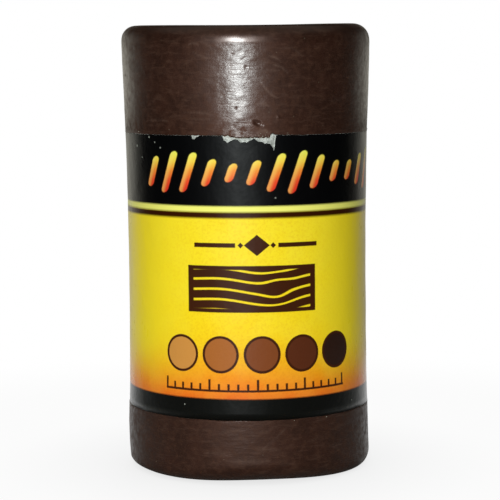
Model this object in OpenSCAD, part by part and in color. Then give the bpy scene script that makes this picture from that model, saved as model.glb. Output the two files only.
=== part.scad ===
// Soft wax filler stick for furniture repair: a cast round bar of wax with a
// paper label wrapped once round it and lapped over its own start at the back.
// Millimetres. The stick stands on its base at z = 0, its axis is +Z, the
// label's front faces -Y and the label's lap is on the +Y side.

/* [Wax stick] */
// Height from the base to the rim of the pour end
stick_h = 35; // [32:0.5:60]
// Diameter of the bare wax at the base end
base_d = 19.2; // [15:0.1:30]
// Extra diameter at the rim of the pour end, which flares from the label up
flare = 0.5; // [0:0.05:1]
// Radius of the rounded edge at the base
base_round = 1.2; // [0.4:0.05:2]
// Radius of the rounded rim at the pour end
rim_round = 1.1; // [0.4:0.05:2]

/* [Pour end] */
// Width of the level rim between the rounded edge and the dish
rim_w = 1.2; // [0.4:0.1:3]
// Depth of the dish that the cooling wax leaves
dish_depth = 0.35; // [0.1:0.05:1]

/* [Label] */
// Height of the label strip
label_h = 21.6; // [15:0.1:22.5]
// Height of the label's lower edge above the base
label_z = 5; // [3:0.1:6]
// Thickness of the printed paper
paper_t = 0.1; // [0.08:0.01:0.2]
// Thickness of the adhesive behind the paper
glue_t = 0.05; // [0.03:0.01:0.1]
// Depth of the label's face below the wax beside it
label_sink = 0.03; // [0:0.01:0.2]
// Length of strip that laps over its own start
lap_w = 5; // [2:0.5:10]

/* [Torn edge] */
// Width of the bite torn out of the label's upper edge at the front
bite_w = 4; // [1:0.1:10]
// Depth of that bite
bite_h = 0.3; // [0.1:0.05:1]
// Distance of the bite's middle from the front centre line, to the right
bite_off = 0.2; // [-3:0.1:3]

/* [Hidden] */
$fn = 96;
// Angles round the stick, seen from above with +X at zero
front_a = 270;
lap_a = 90;
// Arc between the buried start of the strip and the joggle that lifts its end
joggle_gap_w = 0.3;
// Arc over which the joggle lifts the strip on to its own start
joggle_w = 0.25;
// Overrun of a cutter past the face that it cuts
over = 1;
// Ragged outline of the bite, across as shares of its width and down as shares of
// its depth
bite_shares = [
    [-0.47, 0.3], [-0.36, 0.45], [-0.27, 0.4], [-0.2, 0.95], [-0.02, 1],
    [0.1, 0.88], [0.24, 0.97], [0.42, 0.9], [0.47, 0.3],
];

base_r = base_d / 2;
rim_r = base_r + flare / 2;
label_top_z = label_z + label_h;
// Radii of the label's layers, from the wax outwards
face_r = base_r - label_sink;
paper_r = face_r - paper_t;
seat_r = paper_r - glue_t;
lap_paper_r = face_r + glue_t;
lap_face_r = lap_paper_r + paper_t;
// Angles at which the strip starts, is lifted and ends
start_a = lap_a + arc_a(joggle_gap_w);
joggle_a = lap_a - arc_a(joggle_w);
end_a = start_a + arc_a(lap_w);
// Ball that leaves the dish
dish_r = rim_r - rim_round - rim_w;
ball_r = (dish_r * dish_r + dish_depth * dish_depth) / (2 * dish_depth);

// Angle in degrees that an arc of this length takes up on the label's face
function arc_a(w) = w / face_r * 180 / PI;

// Angle half way between two
function mid_a(from, to) = (from + to) / 2;

// Half of the bar's outline, turned about the axis
module wax_outline() {
    polygon([
        [0, 0],
        [base_r - base_round, 0],
        [base_r, base_round],
        [base_r, label_z],
        [seat_r, label_z],
        [seat_r, label_top_z],
        [base_r, label_top_z],
        [rim_r, stick_h - rim_round],
        [rim_r - rim_round, stick_h],
        [0, stick_h],
    ]);
    translate([base_r - base_round, base_round]) circle(base_round);
    translate([rim_r - rim_round, stick_h - rim_round]) circle(rim_round);
}

// Part of a ring that is as tall as the label, between two angles
module label_sector(r_in, r_out, from, to) {
    translate([0, 0, label_z])
        rotate_extrude(start = from, angle = to - from)
            translate([r_in, 0]) square([r_out - r_in, label_h]);
}

// Ragged block that takes the torn bite out of the label's upper edge
module bite() {
    depth = lap_face_r - seat_r + 2 * over;
    torn = [for (s = bite_shares) [s[0] * bite_w, -s[1] * bite_h]];
    rotate([0, 0, front_a])
        translate([seat_r - over, bite_off, label_top_z])
            rotate([90, 0, 90])
                linear_extrude(depth)
                    polygon(concat(torn, [[bite_w / 2, over], [-bite_w / 2, over]]));
}

module wax_stick() {
    color([0.20, 0.12, 0.10])
        difference() {
            rotate_extrude() wax_outline();
            translate([0, 0, stick_h - dish_depth + ball_r]) sphere(ball_r);
        }
}

// Adhesive under the whole turn, in the gap behind the joggle and under the lap
module label_adhesive() {
    color([0.85, 0.80, 0.62])
        difference() {
            union() {
                label_sector(seat_r, paper_r, 0, 360);
                label_sector(seat_r, lap_paper_r, lap_a, start_a);
                label_sector(face_r, lap_paper_r, mid_a(lap_a, start_a), end_a);
            }
            bite();
        }
}

// One turn of paper, the joggle at its end and the lap over its start
module paper_label() {
    color([0.95, 0.82, 0.15])
        difference() {
            union() {
                label_sector(paper_r, face_r, start_a, mid_a(joggle_a, lap_a) + 360);
                label_sector(paper_r, lap_face_r, joggle_a, lap_a);
                label_sector(lap_paper_r, lap_face_r, mid_a(joggle_a, lap_a), end_a);
            }
            bite();
        }
}

wax_stick();
label_adhesive();
paper_label();
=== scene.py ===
"""The looks of a soft wax filler stick for furniture repair.

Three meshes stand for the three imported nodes: the cast bar of dark brown wax, the printed
paper label wrapped once round it, and the adhesive film behind the label. Lengths are in
millimetres and become metres as each mesh is made. A place on the stick is given as an arc
round it from the front centre line, to the right, and a height above the base.
"""

import math

import bmesh
import bpy
import numpy as np
from mathutils import Matrix, Vector


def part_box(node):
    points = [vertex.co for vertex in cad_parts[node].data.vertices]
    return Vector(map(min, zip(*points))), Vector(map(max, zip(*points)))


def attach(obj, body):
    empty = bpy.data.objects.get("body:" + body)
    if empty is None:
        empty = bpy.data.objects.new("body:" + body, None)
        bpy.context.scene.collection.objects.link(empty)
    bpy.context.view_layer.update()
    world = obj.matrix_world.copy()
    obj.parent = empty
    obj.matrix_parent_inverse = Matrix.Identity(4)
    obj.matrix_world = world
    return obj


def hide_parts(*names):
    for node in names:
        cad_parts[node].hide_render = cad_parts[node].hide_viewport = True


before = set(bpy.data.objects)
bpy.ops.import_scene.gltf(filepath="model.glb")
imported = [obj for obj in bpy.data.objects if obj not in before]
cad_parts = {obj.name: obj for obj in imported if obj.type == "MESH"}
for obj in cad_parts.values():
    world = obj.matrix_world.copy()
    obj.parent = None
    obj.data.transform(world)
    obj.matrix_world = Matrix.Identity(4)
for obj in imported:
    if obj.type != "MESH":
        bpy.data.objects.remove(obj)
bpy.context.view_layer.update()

MM = 0.001
WHITE = (1, 1, 1, 1)


def box_mm(node):
    """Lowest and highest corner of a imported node, in millimetres"""
    return [[c / MM for c in corner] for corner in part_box(node)]


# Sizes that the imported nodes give
wax_box, label_box = box_mm("wax_stick"), box_mm("paper_label")
STICK_H = wax_box[1][2]
LABEL_Z, LABEL_TOP = label_box[0][2], label_box[1][2]
FACE_R = -label_box[0][1]
LAYER_T = label_box[1][1] - FACE_R

# The bar's wall, waisted behind the label
BOX_MARGIN = 0.012
RIM_R = wax_box[1][0] - BOX_MARGIN
BASE_R = FACE_R + 0.165
WAIST_R = FACE_R - 0.093
WAIST_Z = 15.0
FLARE_TOP = STICK_H - 0.86
# Slumped edges, each at the left, the right and the front: how far the base's rounding
# reaches in and its height as a share of that, the rim's rounding and how far it has sunk
BASE_ROUNDS, BASE_TALLS = (1.46, 0.80, 2.76), (0.50, 1.42, 0.62)
RIM_ROUNDS, RIM_SLUMPS = (1.08, 1.25, 0.95), (0.047, 0.0, 0.228)
# How narrow the front is against the sides, and the angle by which the base's lies aside
BASE_POWER, RIM_POWER = 6.5, 2
BASE_TURN = 0.132
# The wall is drawn in above the base at the left, by this much and up to this height
TUCK, TUCK_H = 0.28, 3.79
# The rim's rounding starts this many times wider, and tightens over this angle
RIM_EASE, EASE_ANGLE = 4.0, math.radians(3.2)
# Pour end: its flat, and inside a level rim the dish, whose slope starts this far outside
# its radius and ends at this share of it
FLAT_R = RIM_R - max(RIM_ROUNDS)
RIM_W, DISH_DEPTH = 1.2, 0.35
DISH_R = FLAT_R - RIM_W
DISH_EASE, DISH_FLOOR = 0.6, 0.15
# Rise of the underside's middle
BASE_HOLLOW = 0.03

# The label's layers and the strip's run round the bar
PAPER_T = LAYER_T * 2 / 3
GLUE_T = LAYER_T / 3
PLY_T = 0.035
LABEL_SINK = 0.02
LOW_INSET, TOP_INSET = 0.04, 0.02
LAP_W = 5.0
JOGGLE_GAP = 0.3
JOGGLE_W = 0.25
SKEW = -0.0034
HALF_TURN = math.pi * FACE_R
STRIP_START = JOGGLE_GAP - HALF_TURN
STRIP_END = HALF_TURN + JOGGLE_GAP + LAP_W
# Gap that keeps two faces from lying in each other
HAIR = 0.004


def smooth_step(x, low, high):
    """0 below low, 1 above high and a smooth ramp between"""
    t = np.clip((x - low) / (high - low), 0.0, 1.0)
    return t * t * (3 - 2 * t)


def waves(s, z, length, count, seed):
    """Smooth random swell over the bar's skin that closes on itself round the back"""
    rng = np.random.default_rng(seed)
    total = np.zeros(np.broadcast(s, z).shape)
    for _ in range(count):
        heading = rng.uniform(0, math.pi)
        rate = 2 * math.pi / length * rng.uniform(0.7, 1.3)
        turns = round(rate * math.cos(heading) * FACE_R)
        rise = rate * math.sin(heading) * rng.choice([-1, 1])
        total = total + np.cos(turns * s / FACE_R + rise * z + rng.uniform(0, 2 * math.pi))
    return total / math.sqrt(count / 2)


# Swells, each as size, wavelength, number of waves and seed
SKIN_SWELLS = [(0.010, 8.0, 7, 21), (0.004, 2.6, 12, 22), (0.0016, 0.9, 18, 23)]
PAPER_SWELLS = [(0.005, 5.0, 7, 41), (0.0022, 1.7, 12, 42)]
FILM_SWELLS = [(0.02, 0.4, 8, 51)]


def swell(s, z, swells):
    """Sum of a few random swells"""
    return sum(size * waves(s, z, *kind) for size, *kind in swells)


def wall_r(z):
    """Radius of the bare bar's wall at a height"""
    z = np.minimum(z, FLARE_TOP)
    end_r = np.where(z < WAIST_Z, BASE_R, RIM_R)
    reach = np.where(z < WAIST_Z, WAIST_Z, FLARE_TOP - WAIST_Z)
    return WAIST_R + (end_r - WAIST_R) * ((z - WAIST_Z) / reach) ** 2


def face_r(z):
    """Radius of the label's printed face at a height"""
    return wall_r(z) - LABEL_SINK


# The torn bite in the label's upper edge: arc, then the drop of the paper's white core and
# the drop of its printed ply below the label's edge
TEAR = [
    (-1.75, 0.02, 0.03), (-1.66, 0.06, 0.34), (-1.43, 0.02, 0.49), (-1.20, 0.09, 0.38),
    (-0.98, 0.14, 0.30), (-0.80, 0.19, 0.26), (-0.60, 0.21, 0.31), (-0.45, 0.22, 0.48),
    (-0.01, 0.20, 0.50), (0.29, 0.22, 0.37), (0.50, 0.18, 0.27), (0.74, 0.21, 0.29),
    (0.89, 0.18, 0.44), (1.19, 0.22, 0.51), (1.49, 0.19, 0.61), (1.79, 0.22, 0.65),
    (1.87, -0.06, 0.78), (2.02, -0.08, 0.96), (2.09, -0.06, 1.24), (2.18, 0.02, 0.38),
    (2.26, 0.00, 0.02),
]
# A chip in the print beside it
CHIP = [(-4.24, 0.0, 0.01), (-4.15, -0.02, 0.26), (-3.98, 0.02, 0.30), (-3.84, 0.0, 0.12),
        (-3.66, -0.02, 0.07), (-3.58, 0.0, 0.01)]
# Places of the two drops in a point of either
CORE_PLY, PRINTED_PLY = 1, 2


def in_tear(s, margin=0.0):
    """Whether an arc lies in the torn bite, or this close to it"""
    return (s > TEAR[0][0] - margin) & (s < TEAR[-1][0] + margin)


def torn_drop(s, ply):
    """Drop of one ply below the label's cut edge, along the arc"""
    drop = np.zeros_like(s)
    for points in (TEAR, CHIP):
        arcs = [p[0] for p in points]
        inside = (s > arcs[0]) & (s < arcs[-1])
        drop = np.where(inside, np.interp(s, arcs, [p[ply] for p in points]), drop)
    fray = swell(s, 0 * s, [(0.02, 0.31, 9, 5 + ply), (0.012, 0.17, 9, 7)])
    return drop + np.where(in_tear(s), fray, 0.0)


def askew(s):
    """Rise of the label's edges and print where the strip lies askew on the bar"""
    return SKEW * FACE_R * np.sin(s / FACE_R)


def cut_edge(s, z, seed):
    """The label's cut edge at nominal height z: askew and a little uneven"""
    return z + askew(s) + swell(s, 0 * s, [(0.010, 3.2, 5, seed), (0.004, 0.6, 8, seed)])


def label_low(s):
    """Height of the label's lower edge"""
    return cut_edge(s, LABEL_Z + LOW_INSET, 11)


def upper_cut(s):
    """Height of the label's upper edge, before it was torn"""
    return cut_edge(s, LABEL_TOP - TOP_INSET, 12)


def core_top(s):
    """Height of the upper edge of the paper's white core"""
    return upper_cut(s) - torn_drop(s, CORE_PLY)


def print_top(s):
    """Height of the upper edge of the printed ply"""
    return np.minimum(upper_cut(s) - torn_drop(s, PRINTED_PLY), core_top(s) - HAIR)


def lap_lift(s):
    """Lift of the strip's end on to its own start"""
    return LAYER_T * smooth_step(s, HALF_TURN - JOGGLE_W, HALF_TURN)


def on_stick(r, s, z):
    """Points in metres at a radius, an arc from the front centre line and a height"""
    a = s / FACE_R
    return np.stack([r * np.sin(a), -r * np.cos(a), z + 0 * a], axis=-1) * MM


def grid_quads(rows, columns, wrap_rows=False, wrap_columns=False):
    """Faces between the neighbours in a grid of vertices, which may close on itself"""
    i, j = np.arange(rows - 1 + wrap_rows)[:, None], np.arange(columns - 1 + wrap_columns)
    up, on = (i + 1) % rows, (j + 1) % columns
    corners = [i * columns + j, i * columns + on, up * columns + on, up * columns + j]
    return np.stack(corners, axis=-1)


def add_object(name, mesh, materials):
    """An object for a mesh, smooth shaded, with its materials"""
    obj = bpy.data.objects.new(name, mesh)
    bpy.context.scene.collection.objects.link(obj)
    for material in materials:
        mesh.materials.append(material)
    mesh.polygons.foreach_set("use_smooth", [True] * len(mesh.polygons))
    return obj


def set_attribute(mesh, name, kind, values):
    """A named value at each vertex, for a material to read"""
    attribute = mesh.attributes.new(name, kind, "POINT")
    key = "vector" if kind == "FLOAT_VECTOR" else "value"
    attribute.data.foreach_set(key, np.asarray(values, np.float32).ravel())


# Marks on the wax, each as arc, height, half length, half width, depth and slope
PITS = [
    (0.92, 27.46, 0.36, 0.17, 0.11, -0.47),
    (-0.73, 28.63, 0.08, 0.07, 0.04, 0.0),
    (-0.35, 32.85, 0.24, 0.09, 0.018, 0.1),
    (-0.95, 32.60, 0.20, 0.08, 0.015, -0.2),
    (-0.15, 32.25, 0.22, 0.08, 0.015, 0.3),
    (0.05, 31.65, 0.15, 0.10, 0.015, 0.0),
    (-6.2, 30.0, 0.10, 0.10, 0.04, 0.0),
    (7.4, 29.8, 0.11, 0.08, 0.04, 0.4),
    (-12.5, 31.1, 0.2, 0.12, 0.06, 0.3),
    (17.0, 31.9, 0.30, 0.16, 0.09, 0.2),
    (-21.0, 29.1, 0.26, 0.18, 0.10, -0.6),
    (26.5, 31.3, 0.18, 0.14, 0.07, 0.0),
    (-27.0, 3.1, 0.28, 0.16, 0.08, 0.5),
    (12.0, 2.7, 0.16, 0.12, 0.05, 0.0),
]
# The low lip round a pit: its rise as a share of the depth, and its place and width as
# shares of the pit's half width
LIP_RISE, LIP_AT, LIP_W = 0.12, 1.35, 0.3
# Small raised grains, as arc, height, radius and rise
GRAINS = [
    (1.12, 27.38, 0.13, 0.06), (2.42, 27.93, 0.10, 0.05), (5.6, 30.45, 0.09, 0.04),
    (5.4, 33.5, 0.10, 0.04), (-8.6, 31.3, 0.09, 0.04), (5.7, 2.5, 0.08, 0.04),
    (-5.9, 2.0, 0.08, 0.04), (19.5, 29.3, 0.12, 0.05), (-17.0, 32.4, 0.12, 0.05),
]
# Scuffs, as the arc and height of both ends, the bow between them, half width and strength
SCUFFS = [
    (1.69, 32.46, 2.60, 32.01, 0.10, 0.09, 0.7),
    (1.99, 31.79, 3.14, 31.19, 0.16, 0.09, 0.8),
    (1.00, 30.62, 2.43, 29.34, -0.25, 0.10, 0.7),
    (0.69, 28.92, 1.66, 28.76, 0.12, 0.13, 0.6),
    (0.75, 26.80, 1.75, 26.72, 0.05, 0.20, 0.8),
    (1.0, 27.05, 1.5, 26.95, 0.0, 0.12, 0.6),
    (1.5, 31.45, 2.5, 31.4, -0.05, 0.12, 0.4),
    (-4.26, 33.33, -3.44, 33.32, 0.12, 0.10, 0.5),
    (-3.9, 32.8, -2.6, 32.35, -0.1, 0.13, 0.4),
    (-3.3, 33.5, -2.3, 33.05, 0.1, 0.10, 0.35),
    (-4.9, 28.3, -1.9, 28.05, 0.08, 0.08, 0.4),
    (-4.2, 27.8, -2.4, 27.85, -0.04, 0.08, 0.3),
    (-3.0, 30.8, -1.6, 30.1, 0.15, 0.12, 0.35),
    (-2.2, 29.8, -1.5, 29.5, 0.05, 0.13, 0.35),
    (3.2, 33.1, 4.3, 32.4, 0.1, 0.09, 0.3),
    (-3.4, 2.5, -1.2, 2.4, 0.05, 0.13, 0.35),
    (-1.7, 2.0, 1.6, 1.95, -0.06, 0.17, 0.4),
    (0.5, 2.9, 2.4, 2.7, 0.06, 0.11, 0.3),
]
STRAY_SCUFFS = 70
SCUFF_DEPTH = 0.012
# Heights between which the wax is bare, above and below the label
BARE_HIGH, BARE_LOW = (27.2, 33.3), (1.4, 4.2)


def all_scuffs():
    """The scuffs listed for the front, and faint stray ones over the rest"""
    rng = np.random.default_rng(31)
    back_margin = 2
    stray = []
    for _ in range(STRAY_SCUFFS):
        s = rng.uniform(-HALF_TURN + back_margin, HALF_TURN - back_margin)
        z = rng.choice([rng.uniform(*BARE_HIGH), rng.uniform(*BARE_LOW)])
        length, tilt = rng.uniform(0.5, 2.4), rng.normal(0, 0.35)
        ends = (s, z, s + length, z + length * tilt)
        bow, half_w, strength = rng.normal(0, 0.08), rng.uniform(0.06, 0.14), rng.uniform(0.1, 0.35)
        stray.append((*ends, bow, half_w, strength))
    return SCUFFS + stray


def scuff_map(s, z):
    """How scuffed each place on the wax is, from 0 to 1"""
    reach, far, steps, end_fade = 1, 9.0, 25, 1.5
    total = np.zeros(s.shape)
    for s0, z0, s1, z1, bow, half_w, strength in all_scuffs():
        near = (s > s0 - reach) & (s < s1 + reach) & (np.abs(z - (z0 + z1) / 2) < 2 * reach)
        if not near.any():
            continue
        gap = np.full(near.sum(), far)
        for t in np.linspace(0, 1, steps):
            x = s0 + (s1 - s0) * t
            y = z0 + (z1 - z0) * t + 4 * bow * t * (1 - t)
            fade = 1 + end_fade * abs(2 * t - 1) ** 3
            gap = np.minimum(gap, fade * np.hypot(s[near] - x, z[near] - y))
        total[near] += strength * np.exp(-((gap / half_w) ** 2))
    return np.clip(total, 0, 1)


def dent_map(s, z):
    """Rise and fall of the skin at pits and grains"""
    total = np.zeros(s.shape)
    for s0, z0, half_l, half_w, depth, slope in PITS:
        turn = math.atan(slope)
        u = (s - s0) * math.cos(turn) + (z - z0) * math.sin(turn)
        v = (z - z0) * math.cos(turn) - (s - s0) * math.sin(turn)
        out = np.sqrt((u / half_l) ** 2 + (v / half_w) ** 2)
        lip = LIP_RISE * depth * np.exp(-(((out - LIP_AT) / LIP_W) ** 2))
        total += -depth * np.exp(-(out ** 3)) + lip
    for s0, z0, radius, rise in GRAINS:
        total += rise * np.exp(-(((s - s0) ** 2 + (z - z0) ** 2) / radius ** 2))
    return total


# Rings of the bar's mesh: underside, base's edge, wall below the label, seat, wall above it
# and top, and the tilts in degrees at which the rim's rounding has its rings
BASE_RINGS, EDGE_RINGS, LOW_RINGS, SEAT_RINGS, HIGH_RINGS, TOP_RINGS = 18, 18, 30, 26, 96, 44
RIM_TILTS = (0, 0.7, 1.4, 2.2, 3.1, 4.2, 5.6, 7.5, 10, 14, 19, 25, 32, 40, 48, 56, 64, 72, 79, 85, 90)
PROFILE_STEPS = 800
# Columns of the bar's mesh, and how much closer together they are at the front
WAX_COLUMNS = 460
FRONT_DENSITY = 0.55
# Where the wall turns in to the label's seat: distances from the label's edge and insets
LIP_STEPS = [(0.02, 0.006), (0.006, 0.03)]
LIP_GAP = 0.05
# Room above the label's edge, where it is torn and where it is cut
TEAR_MARGIN, TORN_ROOM, CUT_ROOM = 0.1, 0.05, 0.006
# How far marks reach below the label's upper edge, how far the smooth seat reaches past both
# edges, and how far below the label the lower wax's material starts
MARK_REACH, SEAT_BELOW, SEAT_ABOVE, LOW_WAX_DROP = 0.02, 0.03, 0.06, 0.02
# Parts of the facing direction above which it counts as mostly and as fully that way
MOSTLY, FULLY = 0.5, 0.99


def rim_profile():
    """Tilt, rise and inset along the rim's curve for a rounding of 1, from the wall up"""
    tilt = np.linspace(0, math.pi / 2, PROFILE_STEPS)
    bend = (1 + RIM_EASE * np.exp(-tilt / EASE_ANGLE)) * tilt[1]
    return tilt, np.cumsum(bend * np.cos(tilt)), np.cumsum(bend * np.sin(tilt))


def around(s, left, right, front, power):
    """A value that changes round the bar between its left, its right and its front"""
    side = 0.5 - 0.5 * np.sin(s / FACE_R)
    ahead = np.clip(np.cos(s / FACE_R), 0, 1) ** power
    sides = right + (left - right) * side
    return sides + (front - sides) * ahead


def low_wall_r(s, z):
    """Radius of the wall below the label"""
    side = 0.5 - 0.5 * np.sin(s / FACE_R - BASE_TURN)
    return wall_r(z) - TUCK * side ** 2 * np.clip(1 - z / TUCK_H, 0, 1) ** 2


def wax_rows(s):
    """The bar's profile at every arc, from the base's middle to the top's: radius, height and
    the direction that faces out of the wax"""
    turned = s - BASE_TURN * FACE_R
    base_round = around(turned, *BASE_ROUNDS, BASE_POWER)
    base_tall = base_round * around(turned, *BASE_TALLS, BASE_POWER)
    rim_round = around(s, *RIM_ROUNDS, RIM_POWER)
    top = STICK_H - around(s, *RIM_SLUMPS, RIM_POWER)
    tilts, rises, insets = rim_profile()
    rim_low = top - rim_round * rises[-1]
    low = label_low(s) - HAIR
    high = core_top(s) + np.where(in_tear(s, TEAR_MARGIN), TORN_ROOM, CUT_ROOM)
    seat = LABEL_SINK + LAYER_T + HAIR
    lip = [*LIP_STEPS, (0.0, seat)]
    rows = []

    def add(r, z, out_r, out_z):
        rows.append([r + 0 * s, z + 0 * s, out_r + 0 * s, out_z + 0 * s])

    # Underside, then its rounded edge
    for share in np.linspace(0, 1, BASE_RINGS)[1:-1]:
        add(share * (low_wall_r(s, 0) - base_round), BASE_HOLLOW * (1 - share ** 4), 0, -1)
    for turn in np.linspace(0, math.pi / 2, EDGE_RINGS):
        z = base_tall * (1 - math.cos(turn))
        r = low_wall_r(s, z) - base_round * (1 - math.sin(turn))
        add(r, z, math.sin(turn), -math.cos(turn))
    # Wall up to the label, the seat under it and the wall above it
    for share in np.linspace(0, 1, LOW_RINGS)[1:]:
        z = base_tall + (low - LIP_GAP - base_tall) * share
        add(low_wall_r(s, z), z, 1, 0)
    for drop, inset in lip:
        add(wall_r(low) - inset, low - drop, 1, 0)
    for share in np.linspace(0, 1, SEAT_RINGS)[1:-1]:
        z = low + (high - low) * share
        add(wall_r(z) - seat, z, 1, 0)
    for rise, inset in reversed(lip):
        add(wall_r(high) - inset, high + rise, 1, 0)
    for share in np.linspace(0, 1, HIGH_RINGS)[:-1]:
        z = high + LIP_GAP + (rim_low - high - LIP_GAP) * share
        add(wall_r(z), z, 1, 0)
    # Rounded rim, then the rim's flat and the dish
    for tilt in np.radians(RIM_TILTS):
        r = wall_r(rim_low) - rim_round * np.interp(tilt, tilts, insets)
        z = rim_low + rim_round * np.interp(tilt, tilts, rises)
        add(r, z, math.cos(tilt), math.sin(tilt))
    flat_r = wall_r(rim_low) - rim_round * insets[-1]
    for share in np.linspace(1, 0, TOP_RINGS)[1:-1]:
        r = flat_r * share
        sunk = DISH_DEPTH * smooth_step(-r, -DISH_R - DISH_EASE, -DISH_FLOOR * DISH_R)
        add(r, top * share + STICK_H * (1 - share) - sunk, 0, 1)
    return np.array(rows).transpose(1, 0, 2)


def pour_relief(s, r):
    """Rise and fall of the top where the wax was poured and shrank: rings, a slow swell and a
    hole, which fade out towards the rim"""
    ring_h, ring_rate, ring_reach, wobble_h, wobbles, wobble_start = 0.006, 2.4, 5, 0.5, 3, 1
    pool_h, pool_rate_x, pool_rate_y, pool_start = 0.008, 0.7, 0.6, 1.2
    hole_depth, hole_x, hole_y, hole_w, hole_l = 0.12, 0.8, 0.5, 0.8, 0.6
    fade_w = 1.5
    x, y = r * np.sin(s / FACE_R), -r * np.cos(s / FACE_R)
    wobble = wobble_h * np.sin(wobbles * s / FACE_R + wobble_start)
    pour = ring_h * np.sin(ring_rate * r + wobble) * np.exp(-r / ring_reach)
    pour += pool_h * np.sin(pool_rate_x * x + pool_start) * np.cos(pool_rate_y * y)
    pour -= hole_depth * np.exp(-(((x - hole_x) / hole_w) ** 2 + ((y - hole_y) / hole_l) ** 2))
    return pour * smooth_step(-r, -FLAT_R, fade_w - FLAT_R)


def skin_relief(s, r, z, out_z):
    """Unevenness of the cast skin along the direction that faces out"""
    wall = swell(s, z, SKIN_SWELLS) * (1 - out_z ** 2)
    return wall + np.where(out_z > FULLY, pour_relief(s, r), 0.0)


def make_wax_bar(materials):
    """The cast bar: one closed skin with a seat for the label. The second material is for the
    part below the label"""
    turn = np.linspace(0, 2 * math.pi, WAX_COLUMNS, endpoint=False)
    angle = turn - FRONT_DENSITY * np.sin(turn)
    angle = np.where(angle > math.pi, angle - 2 * math.pi, angle)
    s = angle * FACE_R
    r, z, out_r, out_z = wax_rows(s)
    s = np.broadcast_to(s, r.shape)
    scuffs = scuff_map(s, z)
    bare = (np.abs(out_r) > MOSTLY) & ((z < label_low(s)) | (z > core_top(s) - MARK_REACH))
    seat = (z > label_low(s) - SEAT_BELOW) & (z < core_top(s) + SEAT_ABOVE) & (out_r > FULLY)
    marks = np.where(bare, dent_map(s, z) - SCUFF_DEPTH * scuffs, 0)
    relief = (skin_relief(s, r, z, out_z) + marks) * np.where(seat, 0.0, 1.0)
    r = np.minimum(r + relief * out_r, RIM_R + BOX_MARGIN / 2)
    z = np.clip(z + relief * out_z, 0, STICK_H)
    rows, columns = r.shape
    poles = [[0, 0, BASE_HOLLOW * MM], [0, 0, (STICK_H - DISH_DEPTH) * MM]]
    points = np.concatenate([on_stick(r, s, z).reshape(-1, 3), poles])
    quads = grid_quads(rows, columns, wrap_columns=True).reshape(-1, 4).tolist()
    base_pole, top_pole, last = rows * columns, rows * columns + 1, (rows - 1) * columns
    fans = [(base_pole, (c + 1) % columns, c) for c in range(columns)]
    fans += [(last + c, last + (c + 1) % columns, top_pole) for c in range(columns)]
    mesh = bpy.data.meshes.new("wax_bar")
    mesh.from_pydata(points.tolist(), [], quads + fans)
    below = (z[:-1] < LABEL_Z - LOW_WAX_DROP).ravel().astype(int).tolist()
    mesh.polygons.foreach_set("material_index", below + [1] * columns + [0] * columns)
    set_attribute(mesh, "scuff", "FLOAT", np.concatenate([scuffs.ravel(), np.zeros(len(poles))]))
    return add_object("wax_bar", mesh, materials)


# Rows of the label and of the film, and how much closer they stand near the upper edge
LABEL_ROWS, FILM_ROWS = 64, 12
ROW_CROWDING = 1.6


def strip_columns():
    """Arcs at which the strip's mesh has its columns, close together at the torn front"""
    left, right, joggle = -5.0, 3.0, HALF_TURN - JOGGLE_W
    coarse, fine, joggle_columns, lap_columns = 0.2, 0.04, 9, 30
    return np.concatenate([
        np.arange(STRIP_START, left, coarse), np.arange(left, right, fine),
        np.arange(right, joggle, coarse), np.linspace(joggle, HALF_TURN, joggle_columns),
        np.linspace(HALF_TURN, STRIP_END, lap_columns)[1:],
    ])


def strip_mesh(name, s, low, ply_top, top, outer, ply_t, thickness, rows):
    """A closed thin strip of two plies, the outer one ending at ply_top and the inner at top.
    outer gives the outer face's radius. Returns the mesh and each vertex's arc and height"""
    share = np.linspace(0, 1, rows)[:, None]
    share = 1 - (1 - share) ** ROW_CROWDING
    z_face = low + (ply_top - low) * share
    r_face = outer(s, z_face)
    r_step = outer(s, ply_top) - ply_t
    r_top = outer(s, top) - ply_t
    r_back = outer(s, top) - thickness
    section_r = np.concatenate([r_face, [r_step, r_top, r_back], (r_face - thickness)[::-1]])
    section_z = np.concatenate([z_face, [ply_top, top, top], z_face[::-1]])
    arcs = np.broadcast_to(s, section_r.shape)
    points = on_stick(section_r, arcs, section_z)
    count, columns = section_r.shape
    quads = grid_quads(count, columns, wrap_rows=True)
    faces = quads.reshape(-1, 4).tolist()
    core = np.broadcast_to(np.arange(count)[:, None] >= rows - 1, quads.shape[:2])
    core = core.ravel().astype(int).tolist()
    for column, flip in ((0, 1), (columns - 1, -1)):
        cap = [[k, count - 1 - k, count - 2 - k, k + 1] for k in range(rows - 1)]
        cap.append([rows - 1, rows + 3, rows + 2, rows + 1, rows])
        for ring in cap:
            faces.append([q * columns + column for q in ring][::flip])
            core.append(1)
    mesh = bpy.data.meshes.new(name)
    mesh.from_pydata(points.reshape(-1, 3).tolist(), [], faces)
    mesh.polygons.foreach_set("material_index", core)
    return mesh, arcs, section_z


# The paper's waves end between these distances from the middle of the back
CALM_FROM, CALM_TO = 7, 5


def label_outer(s, z):
    """Radius of the label's outer face, with slight waves in the paper"""
    crinkle = np.minimum(swell(s, z, PAPER_SWELLS), LABEL_SINK)
    inner_part = 1 - smooth_step(np.abs(s), HALF_TURN - CALM_FROM, HALF_TURN - CALM_TO)
    return face_r(z) + lap_lift(s) + crinkle * inner_part


def make_label(print_material, core_material):
    """The label strip: printed ply over a white core, lapped over its own start"""
    s = strip_columns()
    mesh, arcs, heights = strip_mesh("label_strip", s, label_low(s), print_top(s), core_top(s),
                                     label_outer, PLY_T, PAPER_T, LABEL_ROWS)
    sheet = np.stack([arcs, heights - askew(arcs), 0 * arcs], axis=-1)
    set_attribute(mesh, "sheet", "FLOAT_VECTOR", sheet)
    return add_object("label_strip", mesh, [print_material, core_material])


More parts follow.
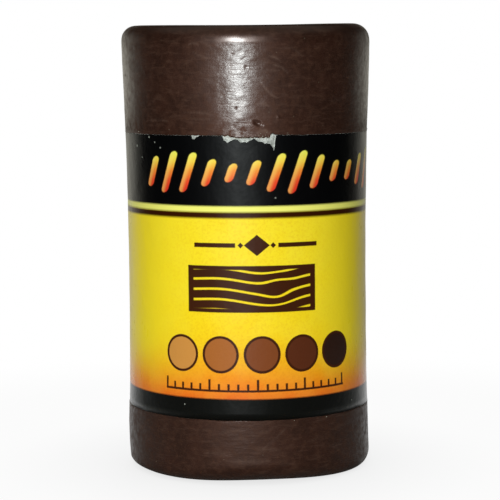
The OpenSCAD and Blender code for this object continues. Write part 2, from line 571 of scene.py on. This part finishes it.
# Crumbs of adhesive and wax left round the tear and along the label's edges, as arc, height
# and radius
CRUMBS = [
    (0.95, 26.60, 0.035), (1.10, 26.74, 0.03), (1.24, 26.52, 0.045), (1.45, 26.60, 0.035),
    (1.56, 26.82, 0.03), (0.72, 26.58, 0.025), (1.66, 26.52, 0.03), (-9.91, 26.80, 0.05),
    (3.15, 26.72, 0.03), (3.55, 4.92, 0.03), (6.45, 4.92, 0.04), (14.8, 26.70, 0.03),
    (-17.5, 4.95, 0.04), (22.0, 26.70, 0.04),
]
CRUMB_ROUGHNESS = 0.06


def film_outer(s, z):
    """Radius of the adhesive's outer face, just behind the paper"""
    return label_outer(s, z) - PAPER_T - HAIR


def add_crumbs(mesh):
    """Small lumps on the wax, joined to a mesh"""
    grown = bmesh.new()
    grown.from_mesh(mesh)
    rng = np.random.default_rng(61)
    for s0, z0, radius in CRUMBS:
        place = on_stick(np.array(float(wall_r(z0))), np.array(s0), np.array(z0))
        size = [radius * MM * rng.uniform(0.7, 1.3) for _ in range(3)]
        spin = Matrix.Rotation(rng.uniform(0, 6), 4, "Z") @ Matrix.Rotation(rng.uniform(0, 6), 4, "X")
        matrix = Matrix.Translation(Vector(place)) @ spin @ Matrix.Diagonal([*size, 1])
        made = bmesh.ops.create_icosphere(grown, subdivisions=2, radius=1, matrix=matrix)
        for vert in made["verts"]:
            vert.co += Vector(rng.normal(0, CRUMB_ROUGHNESS * radius * MM, 3))
    grown.to_mesh(mesh)
    grown.free()


def make_film(material):
    """The adhesive behind the strip, with its crumbs. It mostly shows above the torn paper"""
    low_inset, top_inset, step, torn_rise, torn_range = 0.05, 0.03, 0.02, 0.035, (-0.02, 0.045)
    s = strip_columns()
    torn_edge = np.clip(torn_rise + swell(s, 0 * s, FILM_SWELLS), *torn_range)
    top = core_top(s) + np.where(in_tear(s), torn_edge, -top_inset)
    mesh, _, _ = strip_mesh("adhesive_film", s, label_low(s) + low_inset, top - step, top,
                            film_outer, HAIR, GLUE_T - 2 * HAIR, FILM_ROWS)
    mesh.polygons.foreach_set("material_index", [0] * len(mesh.polygons))
    add_crumbs(mesh)
    return add_object("adhesive_film", mesh, [material])


def srgb(red, green, blue):
    """Linear colour for one read as 0 to 255 on a screen"""
    def linear(c):
        c = c / 255
        return c / 12.92 if c <= 0.04045 else ((c + 0.055) / 1.055) ** 2.4
    return (linear(red), linear(green), linear(blue), 1.0)


class Shader:
    """A node tree, written as sums. Each call adds a node and returns its output"""

    def __init__(self, owner):
        owner.use_nodes = True
        self.owner = owner
        self.tree = owner.node_tree

    def node(self, kind, inputs=(), **settings):
        made = self.tree.nodes.new(kind)
        for key, value in settings.items():
            setattr(made, key, value)
        for key, value in dict(inputs).items():
            self.feed(made.inputs[key], value)
        return made

    def feed(self, socket, value):
        if isinstance(value, bpy.types.NodeSocket):
            self.tree.links.new(value, socket)
        else:
            socket.default_value = value

    def maths(self, operation, a, b=0.0, c=0.0, clamp=False):
        made = self.node("ShaderNodeMath", {0: a, 1: b, 2: c}, operation=operation, use_clamp=clamp)
        return made.outputs[0]

    def vector(self, operation, inputs):
        """The node of a sum of vectors"""
        return self.node("ShaderNodeVectorMath", inputs, operation=operation)

    def add(self, a, b):
        return self.maths("ADD", a, b)

    def sub(self, a, b, clamp=False):
        return self.maths("SUBTRACT", a, b, clamp=clamp)

    def mul(self, a, b):
        return self.maths("MULTIPLY", a, b)

    def mul_add(self, a, factor, offset):
        return self.maths("MULTIPLY_ADD", a, factor, offset)

    def larger(self, a, b):
        return self.maths("MAXIMUM", a, b)

    def abs(self, a):
        return self.maths("ABSOLUTE", a)

    def sine(self, a, rate):
        return self.maths("SINE", self.mul(a, rate))

    def distance(self, u, v):
        """Length of the step u across and v up"""
        return self.maths("SQRT", self.add(self.mul(u, u), self.mul(v, v)))

    def rise(self, x, edge, soft=0.04):
        """0 where x is below the edge, 1 above, soft across it"""
        low, high = (self.sub(edge, soft), self.add(edge, soft)) \
            if isinstance(edge, bpy.types.NodeSocket) else (edge - soft, edge + soft)
        made = self.node("ShaderNodeMapRange", {"Value": x, "From Min": low, "From Max": high},
                         interpolation_type="SMOOTHSTEP")
        return made.outputs["Result"]

    def fall(self, x, edge, soft=0.04):
        """1 where x is below the edge, 0 above, soft across it"""
        return self.sub(1.0, self.rise(x, edge, soft))

    def between(self, x, low, high, soft=0.04):
        """1 where x lies between low and high"""
        return self.mul(self.rise(x, low, soft), self.fall(x, high, soft))

    def mix(self, factor, a, b, blend="MIX"):
        """Colour b over colour a"""
        made = self.node("ShaderNodeMix", data_type="RGBA", blend_type=blend, clamp_factor=True)
        for socket, value in zip((made.inputs[0], made.inputs[6], made.inputs[7]), (factor, a, b)):
            self.feed(socket, value)
        return made.outputs[2]

    def tint(self, tone, mask, share, colour, blend="MIX"):
        """A share of a screen colour over a tone, where the mask is 1"""
        return self.mix(self.mul(mask, share), tone, srgb(*colour), blend)

    def split(self, vector):
        """The parts of a vector along X, Y and Z"""
        return tuple(self.node("ShaderNodeSeparateXYZ", {0: vector}).outputs)

    def places(self):
        """The object's own coordinates in millimetres"""
        coordinates = self.node("ShaderNodeTexCoord").outputs["Object"]
        return self.vector("SCALE", {0: coordinates, "Scale": 1 / MM}).outputs[0]

    def stretched(self, places, factors):
        """Coordinates scaled by a factor along each axis"""
        return self.vector("MULTIPLY", {0: places, 1: factors}).outputs[0]

    def noise(self, places, scale, detail=2.0, roughness=0.5):
        inputs = {"Vector": places, "Scale": scale, "Detail": detail, "Roughness": roughness}
        return self.node("ShaderNodeTexNoise", inputs).outputs["Fac"]

    def attribute(self, name):
        return self.node("ShaderNodeAttribute", attribute_name=name)

    def bump(self, height, distance, normal=None):
        inputs = {"Height": height, "Distance": distance * MM, "Strength": 1.0}
        if normal is not None:
            inputs["Normal"] = normal
        return self.node("ShaderNodeBump", inputs).outputs[0]

    def finish(self, **inputs):
        """Feeds the material's own shader and returns the material"""
        for key, value in inputs.items():
            self.feed(self.tree.nodes["Principled BSDF"].inputs[key.replace("_", " ")], value)
        return self.owner


def new_material(name):
    return Shader(bpy.data.materials.new(name))


# The wax's tones on a screen: its two grounds, then what lies over them
WAX_DARK, WAX_LIGHT = (40, 21, 14), (47, 25, 17)
MOTTLE_TONE, SMEAR_TONE = (60, 38, 28), (72, 50, 40)
SCUFF_TONE, DUST_TONE = (104, 84, 74), (120, 108, 92)
# Smears lie level, so their noise is squeezed upwards
SMEAR_STRETCH = (0.9, 0.9, 4.5)
# Height at which the wall's coat is strongest, and how it wears off away from there
GLOSSY_Z, DULLING, DULLEST = 30.8, 0.045, 0.6
# The polished front of the rim: how far below the top it starts, and how far from the axis
POLISH_DROP, POLISH_AHEAD = 1.52, 5.5
WAX_IOR, COAT_ROUGH = 1.6, 0.275
# The broad gloss's tint where it faces the eye and the coat's index, above and below the label
UPPER_TINT, UPPER_COAT_IOR = (0.66, 0.36, 0.28, 1), 1.52
LOWER_TINT, LOWER_COAT_IOR = (0.47, 0.29, 0.24, 1), 1.2


def wax_material(name, front_tint, coat_ior):
    """Dark brown wax, mottled and scuffed. It has a broad gloss, which has this tint where it
    faces the eye, and over it a narrow white one, both sharper on the rounded rim"""
    sh = new_material(name)
    at = sh.places()
    _, back, height = sh.split(at)
    cloud = sh.noise(at, 0.55, 3.0)
    mottle = sh.noise(at, 2.2, 4.0, 0.6)
    grain = sh.noise(at, 6.5)
    smear = sh.noise(sh.stretched(at, SMEAR_STRETCH), 0.9, 4.0, 0.62)
    speck = sh.node("ShaderNodeTexVoronoi", {"Vector": at, "Scale": 1.1}).outputs["Distance"]
    dust = sh.mul(sh.fall(speck, 0.05, 0.02), sh.rise(grain, 0.5, 0.06))
    scuff = sh.mul_add(sh.rise(mottle, 0.5, 0.12), 0.6, 0.4)
    scuff = sh.mul(sh.attribute("scuff").outputs["Fac"], scuff)

    tone = sh.mix(sh.rise(cloud, 0.5, 0.16), srgb(*WAX_DARK), srgb(*WAX_LIGHT))
    tone = sh.tint(tone, sh.rise(mottle, 0.56, 0.12), 0.55, MOTTLE_TONE)
    tone = sh.tint(tone, sh.rise(smear, 0.6, 0.1), 0.4, SMEAR_TONE)
    tone = sh.tint(tone, scuff, 0.6, SCUFF_TONE)
    tone = sh.tint(tone, dust, 0.4, DUST_TONE)

    # Smoothest on the front of the rounded rim
    radius = sh.vector("LENGTH", {0: sh.stretched(at, (1, 1, 0))}).outputs["Value"]
    polish = sh.mul(sh.rise(height, STICK_H - POLISH_DROP, 0.13), sh.rise(radius, FLAT_R, 0.3))
    polish = sh.mul(polish, sh.rise(sh.mul(back, -1.0), POLISH_AHEAD, 3.0))
    off = sh.sub(height, GLOSSY_Z)
    dull = sh.maths("MINIMUM", sh.mul(sh.mul(off, off), DULLING), DULLEST)
    worn = sh.add(dull, sh.mul(sh.rise(mottle, 0.52, 0.22), 0.45))
    coat = sh.sub(1.0, sh.mul(worn, sh.sub(1.0, polish)), clamp=True)
    rough = sh.mul_add(mottle, 0.30, 0.400)
    rough = sh.add(rough, sh.mul(sh.sub(smear, 0.5), 0.12))
    rough = sh.add(rough, sh.mul(scuff, 0.05))
    rough = sh.sub(rough, sh.mul(polish, 0.15), clamp=True)

    calm = sh.mul_add(polish, -0.75, 1.0)
    skin = sh.bump(sh.mul(smear, calm), 0.021)
    skin = sh.bump(sh.mul(mottle, calm), 0.014, skin)
    skin = sh.bump(sh.mul(grain, calm), 0.003, skin)
    return sh.finish(Base_Color=tone, Roughness=rough, IOR=WAX_IOR, Specular_Tint=front_tint,
                     Normal=skin, Coat_Weight=coat, Coat_Roughness=COAT_ROUGH, Coat_IOR=coat_ior,
                     Coat_Normal=skin)


# The printed sheet's layout, as heights above the stick's base on the front centre line
THIN_LINE = (20.86, 21.28)
DARK_LINE = (20.37, 20.86)
FIELD_LOW = 6.68
BAND_MOTIF = (22.1, 25.5)
# Between the low and the high black, where both tones meet out of sight
BLACK_SPLIT = 14.0
# Heights and colours of the field and of the strokes on the black band
FIELD_STOPS = [
    (6.7, (233, 105, 28)), (7.3, (240, 119, 22)), (7.9, (242, 133, 20)), (8.8, (244, 156, 20)),
    (9.75, (246, 178, 20)), (10.7, (248, 198, 22)), (11.6, (250, 208, 24)), (12.5, (251, 213, 26)),
    (16.0, (251, 219, 33)), (20.4, (251, 220, 37)),
]
FLAME_STOPS = [
    (22.15, (214, 40, 30)), (23.15, (232, 74, 40)), (23.95, (242, 140, 52)), (24.65, (246, 208, 74)),
    (25.4, (236, 236, 92)),
]
# Inks and tones. The lower band's black is a lighter tone than the upper band's
BROWN, BLACK, BLACK_LOW = (62, 28, 10), (4, 4, 5), (11, 11, 9)
DARK_LINE_INK, THIN_LINE_INK, STROKE_SHINE = (52, 18, 0), (246, 240, 118), (250, 236, 120)
# Dots and patches of the print, then painted light: a lighter yellow for the field's sides
DOT_INK, PATCH_INK, PAINTED_SIDE_LIGHT = (226, 176, 40), (255, 240, 90), (255, 226, 40)
RUBBED_INK = (190, 192, 180)


def ramp(sh, value, stops):
    """A colour that runs through stops of height and colour"""
    low, high = stops[0][0], stops[-1][0]
    share = sh.node("ShaderNodeMapRange", {"Value": value, "From Min": low, "From Max": high})
    made = sh.node("ShaderNodeValToRGB", {"Fac": share.outputs["Result"]})
    elements = made.color_ramp.elements
    while len(elements) < len(stops):
        elements.new(0.5)
    for element, (at, colour) in zip(elements, stops):
        element.position = (at - low) / (high - low)
        element.color = srgb(*colour)
    return made.outputs["Color"]


def cell(sh, x, start, pitch):
    """Distance from the middle of the repeat that x lies in, and the repeat's number"""
    share = sh.mul(sh.sub(x, start), 1 / pitch)
    number = sh.maths("FLOOR", share)
    within = sh.mul(sh.sub(sh.sub(share, number), 0.5), pitch)
    return within, number


def first_cells(sh, number, count):
    """1 in the first repeats, up to this count"""
    return sh.between(number, -0.5, count - 0.5, 0.1)


def capsule(sh, u, v, half_l, radius):
    """Distance from an upright stroke with round ends, less its radius"""
    over = sh.larger(sh.sub(sh.abs(v), half_l), 0.0)
    return sh.sub(sh.distance(u, over), radius)


def band_motif(sh, x, y):
    """Mask of a run of slanted strokes whose height swells and sinks along the black band, and
    of the light along their left sides"""
    start, pitch, count, slant, radius = -8.9, 1.72, 14, 0.36, 0.33
    swing_rate, swing, mean_half_l = 1.15, 0.46, 0.82
    v = sh.sub(y, sum(BAND_MOTIF) / 2)
    u, number = cell(sh, sh.sub(x, sh.mul(v, slant)), start, pitch)
    half_l = sh.mul_add(sh.sine(number, swing_rate), swing, mean_half_l)
    stroke = sh.fall(capsule(sh, u, v, half_l, radius), 0.0, 0.05)
    stroke = sh.mul(stroke, first_cells(sh, number, count))
    shine = sh.rise(sh.mul(u, -1.0), 0.02, 0.22)
    return stroke, sh.mul(shine, stroke)


def divider(sh, x, y):
    """A rule broken by a lozenge with a dot at each side"""
    middle_x, middle_y = 0.75, 18.35
    lozenge_h, squeeze = 0.8, 0.8
    rule_from, rule_to, rule_half_w = 1.65, 4.9, 0.17
    dot_at, dot_h = 1.25, 0.22
    u, v = sh.abs(sh.sub(x, middle_x)), sh.abs(sh.sub(y, middle_y))
    lozenge = sh.fall(sh.add(sh.mul(u, squeeze), v), lozenge_h)
    rule = sh.mul(sh.between(u, rule_from, rule_to), sh.fall(v, rule_half_w))
    dot = sh.fall(sh.add(sh.abs(sh.sub(u, dot_at)), v), dot_h)
    return sh.larger(sh.larger(lozenge, rule), dot)


def plank(sh, x, y):
    """A board of wood with its grain left in the ground colour"""
    left, right, low, high = -4.7, 5.5, 13.26, 16.8
    side, edge = 0.45, 0.3
    start, pitch, half_w = 13.05, 0.78, 0.085
    knot_at, squeeze, falloff, shove = (2.3, 15.05), 0.55, -1.6, -0.75
    bend = sh.mul(sh.sine(x, 0.9), 0.16)
    bend = sh.add(bend, sh.mul(sh.maths("SINE", sh.mul_add(x, 0.42, 1.3)), 0.22))
    knot_x, knot_y = sh.sub(x, knot_at[0]), sh.sub(y, knot_at[1])
    knot_gap = sh.add(sh.mul(sh.mul(knot_x, knot_x), squeeze), sh.mul(knot_y, knot_y))
    pull = sh.maths("EXPONENT", sh.mul(knot_gap, falloff))
    push = sh.mul(sh.mul(knot_y, pull), shove)
    line, _ = cell(sh, sh.add(sh.add(y, bend), push), start, pitch)
    grain = sh.fall(sh.abs(line), half_w)
    reach = sh.between(x, left + side, right - side)
    inner = sh.between(y, low + edge, high - edge)
    board = sh.mul(sh.between(x, left, right), sh.between(y, low, high))
    return sh.mul(board, sh.sub(1.0, sh.mul(sh.mul(grain, reach), inner)))


CHIP_SHADES = [(206, 140, 66), (168, 98, 44), (126, 66, 32), (88, 42, 22), (46, 26, 19)]


def shade_chips(sh, x, y, ground):
    """Five discs from a light to a dark shade of wood, each with a dark ring, over the ground"""
    start, pitch, middle_y, radius, ring = -6.95, 3.22, 10.05, 1.42, 0.19
    u, number = cell(sh, x, start, pitch)
    gap = sh.distance(u, sh.sub(y, middle_y))
    disc = sh.mul(sh.fall(gap, radius), first_cells(sh, number, len(CHIP_SHADES)))
    shade = srgb(*CHIP_SHADES[0])
    for k, colour in enumerate(CHIP_SHADES[1:]):
        shade = sh.mix(sh.rise(number, k + 0.5, 0.1), shade, srgb(*colour))
    rim = sh.mul(sh.rise(gap, radius - ring), disc)
    return sh.mix(rim, sh.mix(disc, ground, shade), srgb(*BROWN))


def tick_rule(sh, x, y):
    """A measuring rule: a base line with short ticks, every fifth one taller"""
    left, right, low, pitch = -6.75, 8.3, 7.2, 0.75
    tick_half_w, line_w, short_h, extra_h, margin = 0.09, 0.17, 0.62, 0.34, 0.1
    u, number = cell(sh, x, left - pitch / 2, pitch)
    fifth = sh.maths("COMPARE", sh.maths("MODULO", sh.add(number, 20.0), 5.0), 0.0, 0.2)
    height = sh.mul_add(fifth, extra_h, low + short_h)
    tick = sh.mul(sh.fall(sh.abs(u), tick_half_w), sh.mul(sh.rise(y, low), sh.fall(y, height)))
    line = sh.between(y, low, low + line_w)
    return sh.mul(sh.larger(tick, line), sh.between(x, left - margin, right + margin))


def back_lines(sh, x, y):
    """Two blocks of plain ruled lines on the sides that face away"""
    low, high, pitch, half_w = 8.3, 18.5, 1.15, 0.15
    near_end, far_end, swing, rate = 17.2, 26.4, 1.3, 2.4
    from_front = sh.abs(x)
    line, number = cell(sh, y, low, pitch)
    ink = sh.fall(sh.abs(line), half_w)
    ragged = sh.mul_add(sh.sine(number, rate), swing, far_end)
    block = sh.mul(sh.rise(from_front, near_end), sh.fall(from_front, ragged))
    return sh.mul(sh.mul(ink, block), sh.between(y, low, high))


# White specks where the print has rubbed off, as arc, height and radius
SPECKS = [(-10.29, 25.66, 0.09), (-8.47, 26.38, 0.07), (-7.19, 25.60, 0.06), (-9.5, 24.8, 0.05),
          (-7.8, 26.0, 0.05), (9.6, 5.8, 0.04), (-5.1, 6.1, 0.045), (2.2, 21.9, 0.05)]


def printed_field(sh, at, x, y):
    """The field from yellow to orange, uneven as printed; painted light makes its sides a little
    lighter
    """
    field = ramp(sh, y, FIELD_STOPS)
    dots = sh.noise(at, 5.0, 3.0, 0.6)
    patches = sh.noise(at, 0.5)
    field = sh.tint(field, sh.rise(dots, 0.55, 0.12), 0.20, DOT_INK, "MULTIPLY")
    field = sh.tint(field, sh.rise(patches, 0.5, 0.2), 0.10, PATCH_INK, "SCREEN")
    # Painted light: a lighter yellow over the field's sides, above its orange foot
    side = sh.mul(sh.rise(sh.abs(x), 6.5, 4.0), sh.rise(y, 9.0, 3.0))
    return sh.mix(side, field, srgb(*PAINTED_SIDE_LIGHT))


def printed_art(sh, at, x, y):
    """The whole print: bands, field and plain motifs. The field's sides carry painted light"""
    ink = divider(sh, x, y)
    for mark in (plank(sh, x, y), tick_rule(sh, x, y), back_lines(sh, x, y)):
        ink = sh.larger(ink, mark)
    art = sh.mix(ink, printed_field(sh, at, x, y), srgb(*BROWN))
    art = shade_chips(sh, x, y, art)
    art = sh.mix(sh.between(y, *DARK_LINE, 0.13), art, srgb(*DARK_LINE_INK))
    black = sh.larger(sh.fall(y, FIELD_LOW, 0.09), sh.rise(y, THIN_LINE[0], 0.05))
    # The black above the field, and a lighter black in the band below it
    black_tones = sh.mix(sh.fall(y, BLACK_SPLIT), srgb(*BLACK), srgb(*BLACK_LOW))
    art = sh.mix(black, art, black_tones)
    art = sh.mix(sh.between(y, *THIN_LINE, 0.10), art, srgb(*THIN_LINE_INK))
    stroke, shine = band_motif(sh, x, y)
    art = sh.mix(stroke, art, ramp(sh, y, FLAME_STOPS))
    art = sh.tint(art, shine, 0.35, STROKE_SHINE)
    rub = 0.0
    for s0, z0, radius in SPECKS:
        rub = sh.larger(rub, sh.fall(sh.distance(sh.sub(x, s0), sh.sub(y, z0)), radius))
    return sh.tint(art, rub, 0.6, RUBBED_INK)


def label_material():
    """Coated label paper, duller where it was rubbed at the front"""
    sh = new_material("printed_paper")
    at = sh.places()
    x, y, _ = sh.split(sh.attribute("sheet").outputs["Vector"])
    smear = sh.noise(sh.stretched(at, (1.0, 1.0, 0.35)), 1.6, 4.0, 0.6)
    rubbed = sh.fall(sh.abs(x), 6.5, 2.5)
    rough = sh.mul_add(smear, 0.12, 0.23)
    rough = sh.add(rough, sh.mul(rubbed, 0.13))
    surface = sh.bump(sh.noise(at, 3.2, 3.0), 0.008)
    surface = sh.bump(sh.noise(at, 0.8), 0.02, surface)
    return sh.finish(Base_Color=printed_art(sh, at, x, y), Roughness=rough, IOR=1.5,
                     Specular_Tint=(0.16, 0.16, 0.16, 1), Normal=surface)


def core_material():
    """The white, fibrous inside of the paper where it is cut or torn"""
    sh = new_material("paper_core")
    at = sh.places()
    fibre = sh.noise(sh.stretched(at, (1.0, 1.0, 1.8)), 7.0, 3.0, 0.7)
    patch = sh.noise(at, 1.9)
    tone = sh.mix(sh.rise(fibre, 0.5, 0.2), srgb(186, 187, 180), srgb(246, 248, 242))
    tone = sh.tint(tone, sh.rise(patch, 0.52, 0.1), 0.6, (128, 130, 122))
    return sh.finish(Base_Color=tone, Roughness=0.9, Normal=sh.bump(fibre, 0.03))


def adhesive_material():
    """Dried adhesive, cloudy and yellowish"""
    sh = new_material("label_glue")
    cloud = sh.noise(sh.places(), 4.0, 3.0)
    tone = sh.mix(cloud, srgb(120, 108, 94), srgb(168, 160, 144))
    rough = sh.mul_add(cloud, 0.3, 0.25)
    return sh.finish(Base_Color=tone, Roughness=rough, IOR=1.48, Normal=sh.bump(cloud, 0.02))


# Camera, from the fit of the stick's outline in the photograph. Lens and image in pixels
CAMERA_AT = (0.2225, -145.45, 31.70)
CAMERA_DOWN_DEG, CAMERA_ROLL_DEG = 5.748, -0.4836
LENS_PX, IMAGE_PX, SENSOR = 1823.8, 500.0, 36.0
CLIP_START, CLIP_END = 0.005, 20


def make_camera():
    data = bpy.data.cameras.new("camera")
    data.sensor_width = SENSOR
    data.lens = LENS_PX / IMAGE_PX * SENSOR
    data.clip_start, data.clip_end = CLIP_START, CLIP_END
    camera = bpy.data.objects.new("camera", data)
    bpy.context.scene.collection.objects.link(camera)
    tilt = Matrix.Rotation(math.radians(90 - CAMERA_DOWN_DEG), 4, "X")
    roll = Matrix.Rotation(math.radians(CAMERA_ROLL_DEG), 4, "Z")
    camera.matrix_world = Matrix.Translation(Vector(CAMERA_AT) * MM) @ tilt @ roll
    bpy.context.scene.camera = camera


# Lamps as azimuth, elevation, distance, width, height and power. Azimuth 0 is the camera's
# side, and positive azimuths lie to the right
KEY_LAMP = (-7.5, 5.5, 145, 26, 18, 0.182)
FILL_LAMP = (180, 40, 200, 60, 60, 0.30)
LAMP_AIM = (0, 0, 18)
LAMP_COLOUR = (0.93, 1.0, 1.0)


def make_lamp(name, azimuth, elevation, distance, width, height, power):
    """A soft rectangular lamp that looks at the stick"""
    data = bpy.data.lights.new(name, "AREA")
    data.shape = "RECTANGLE"
    data.size, data.size_y = width * MM, height * MM
    data.energy = power
    data.color = LAMP_COLOUR
    lamp = bpy.data.objects.new(name, data)
    lamp.visible_camera = False
    bpy.context.scene.collection.objects.link(lamp)
    a, e = math.radians(azimuth), math.radians(elevation)
    back = Vector((math.sin(a) * math.cos(e), -math.cos(a) * math.cos(e), math.sin(e)))
    lamp.matrix_world = Matrix.Translation((Vector(LAMP_AIM) + back * distance) * MM) \
        @ back.to_track_quat("Z", "Y").to_matrix().to_4x4()
    return lamp


def make_lights():
    """One soft lamp beside the camera, which leaves the streak, and one behind and above the
    stick that lights its back and top and mirrors in nothing"""
    make_lamp("key", *KEY_LAMP)
    make_lamp("fill", *FILL_LAMP).visible_glossy = False


# The pale surroundings that mirror in the stick's sides: level, softness of their start, and
# how much later they start on the right where they are dimmer there
SWEEP_LEVEL, SWEEP_SOFT, SWEEP_LAG = 0.75, 0.22, 0.35


def pale_sweep(sh, right, back, dim, start):
    """Level of the pale surroundings towards a bearing. They begin where its part to the back
    passes start, and are dimmer by dim on the right"""
    right = sh.rise(right, 0.25, 0.25)
    reach = sh.rise(sh.mul_add(right, -SWEEP_LAG * dim, back), start, SWEEP_SOFT)
    return sh.mul(reach, sh.mul_add(right, -dim, SWEEP_LEVEL))


def make_world():
    """White to the camera. To the stick, dark in front, a pale sweep low behind it and a dim
    ceiling"""
    dim, start, upper_end, upper_soft = 0.17, 0.61, 0.21, 0.16
    ceiling_start, ceiling_soft, ceiling_lean, ceiling_level = 0.62, 0.16, -0.25, 0.17
    least, colour = 0.012, (1.0, 0.97, 0.84, 1)
    world = bpy.data.worlds.new("studio")
    bpy.context.scene.world = world
    sh = Shader(world)
    sh.tree.nodes.clear()
    right, back, up = sh.split(sh.node("ShaderNodeTexCoord").outputs["Generated"])
    panel = sh.mul(pale_sweep(sh, right, back, dim, start), sh.fall(up, upper_end, upper_soft))
    ceiling = sh.rise(sh.mul_add(back, ceiling_lean, up), ceiling_start, ceiling_soft)
    strength = sh.add(sh.add(panel, sh.mul(ceiling, ceiling_level)), least)
    studio = sh.node("ShaderNodeBackground", {"Color": colour, "Strength": strength})
    white = sh.node("ShaderNodeBackground", {"Color": WHITE, "Strength": 1.0})
    seen = sh.node("ShaderNodeLightPath").outputs["Is Camera Ray"]
    mixed = sh.node("ShaderNodeMixShader", {0: seen, 1: studio.outputs[0], 2: white.outputs[0]})
    sh.node("ShaderNodeOutputWorld", {"Surface": mixed.outputs[0]})


FLOOR_R, FLOOR_CORNERS = 60, 96
FLOOR_COLOUR = (0.45, 0.45, 0.44, 1)
# Depth and reach of the shadow under the stick
SHADOW_DEPTH, SHADOW_REACH = 0.20, 12
# The floor's own white: its share near the stick, and where it becomes all
NEAR_WHITE, FAR_AT, FAR_SOFT = 0.95, 45, 12
# What mirrors in the stick: extra brightness, start of the sweep and the line it lies behind
MIRRORED_EXTRA, FLOOR_START, LINE_AT, LINE_SOFT = 0.4, 0.68, -3, 2


def floor_material():
    """Pale, white to the camera but for the stick's shadow, and pale where it mirrors in the
    stick from behind"""
    sh = new_material("pale_floor")
    sh.finish(Base_Color=FLOOR_COLOUR, Roughness=0.9)
    open_sky = sh.node("ShaderNodeAmbientOcclusion", {"Distance": SHADOW_REACH * MM}).outputs["AO"]
    shade = sh.mul_add(open_sky, SHADOW_DEPTH, 1 - SHADOW_DEPTH)
    path = sh.node("ShaderNodeLightPath")
    seen, mirrored = path.outputs["Is Camera Ray"], path.outputs["Is Glossy Ray"]
    level = sh.mul(shade, sh.mul_add(mirrored, MIRRORED_EXTRA, 1.0))
    glow = sh.node("ShaderNodeEmission", {"Color": WHITE, "Strength": level})
    place = sh.node("ShaderNodeNewGeometry").outputs["Position"]
    # Bearing from the foot of the stick's front
    from_front = sh.vector("ADD", {0: place, 1: (0, FACE_R * MM, 0)}).outputs[0]
    right, back, _ = sh.split(sh.vector("NORMALIZE", {0: from_front}).outputs[0])
    behind = pale_sweep(sh, right, back, 0.0, FLOOR_START)
    behind = sh.mul(behind, sh.rise(sh.split(place)[1], LINE_AT * MM, LINE_SOFT * MM))
    distance = sh.vector("LENGTH", {0: place}).outputs["Value"]
    far = sh.rise(distance, FAR_AT * MM, FAR_SOFT * MM)
    share = sh.mul(seen, sh.mul_add(far, 1 - NEAR_WHITE, NEAR_WHITE))
    share = sh.add(share, sh.mul(mirrored, behind))
    plain = sh.tree.nodes["Principled BSDF"].outputs[0]
    mixed = sh.node("ShaderNodeMixShader", {0: share, 1: plain, 2: glow.outputs[0]})
    sh.feed(sh.tree.nodes["Material Output"].inputs["Surface"], mixed.outputs[0])
    return sh.owner


def make_floor():
    """A pale floor round the stick"""
    mesh = bpy.data.meshes.new("floor")
    turns = np.linspace(0, 2 * math.pi, FLOOR_CORNERS, endpoint=False)
    rim = [(FLOOR_R * MM * math.cos(t), FLOOR_R * MM * math.sin(t), 0) for t in turns]
    mesh.from_pydata(rim, [], [range(FLOOR_CORNERS)])
    mesh.materials.append(floor_material())
    floor = bpy.data.objects.new("floor", mesh)
    bpy.context.scene.collection.objects.link(floor)


make_camera()
make_world()
make_lights()
make_floor()

wax_bar = make_wax_bar([wax_material("brown_wax", UPPER_TINT, UPPER_COAT_IOR),
                        wax_material("brown_wax_low", LOWER_TINT, LOWER_COAT_IOR)])
label_strip = make_label(label_material(), core_material())
adhesive_film = make_film(adhesive_material())
for piece, node, slot in (
    (wax_bar, "wax_stick", "brown_wax"),
    (label_strip, "paper_label", "printed_paper"),
    (adhesive_film, "label_adhesive", "label_glue"),
):
    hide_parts(node)
    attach(piece, "root")

bpy.context.scene.view_settings.view_transform = "Standard"
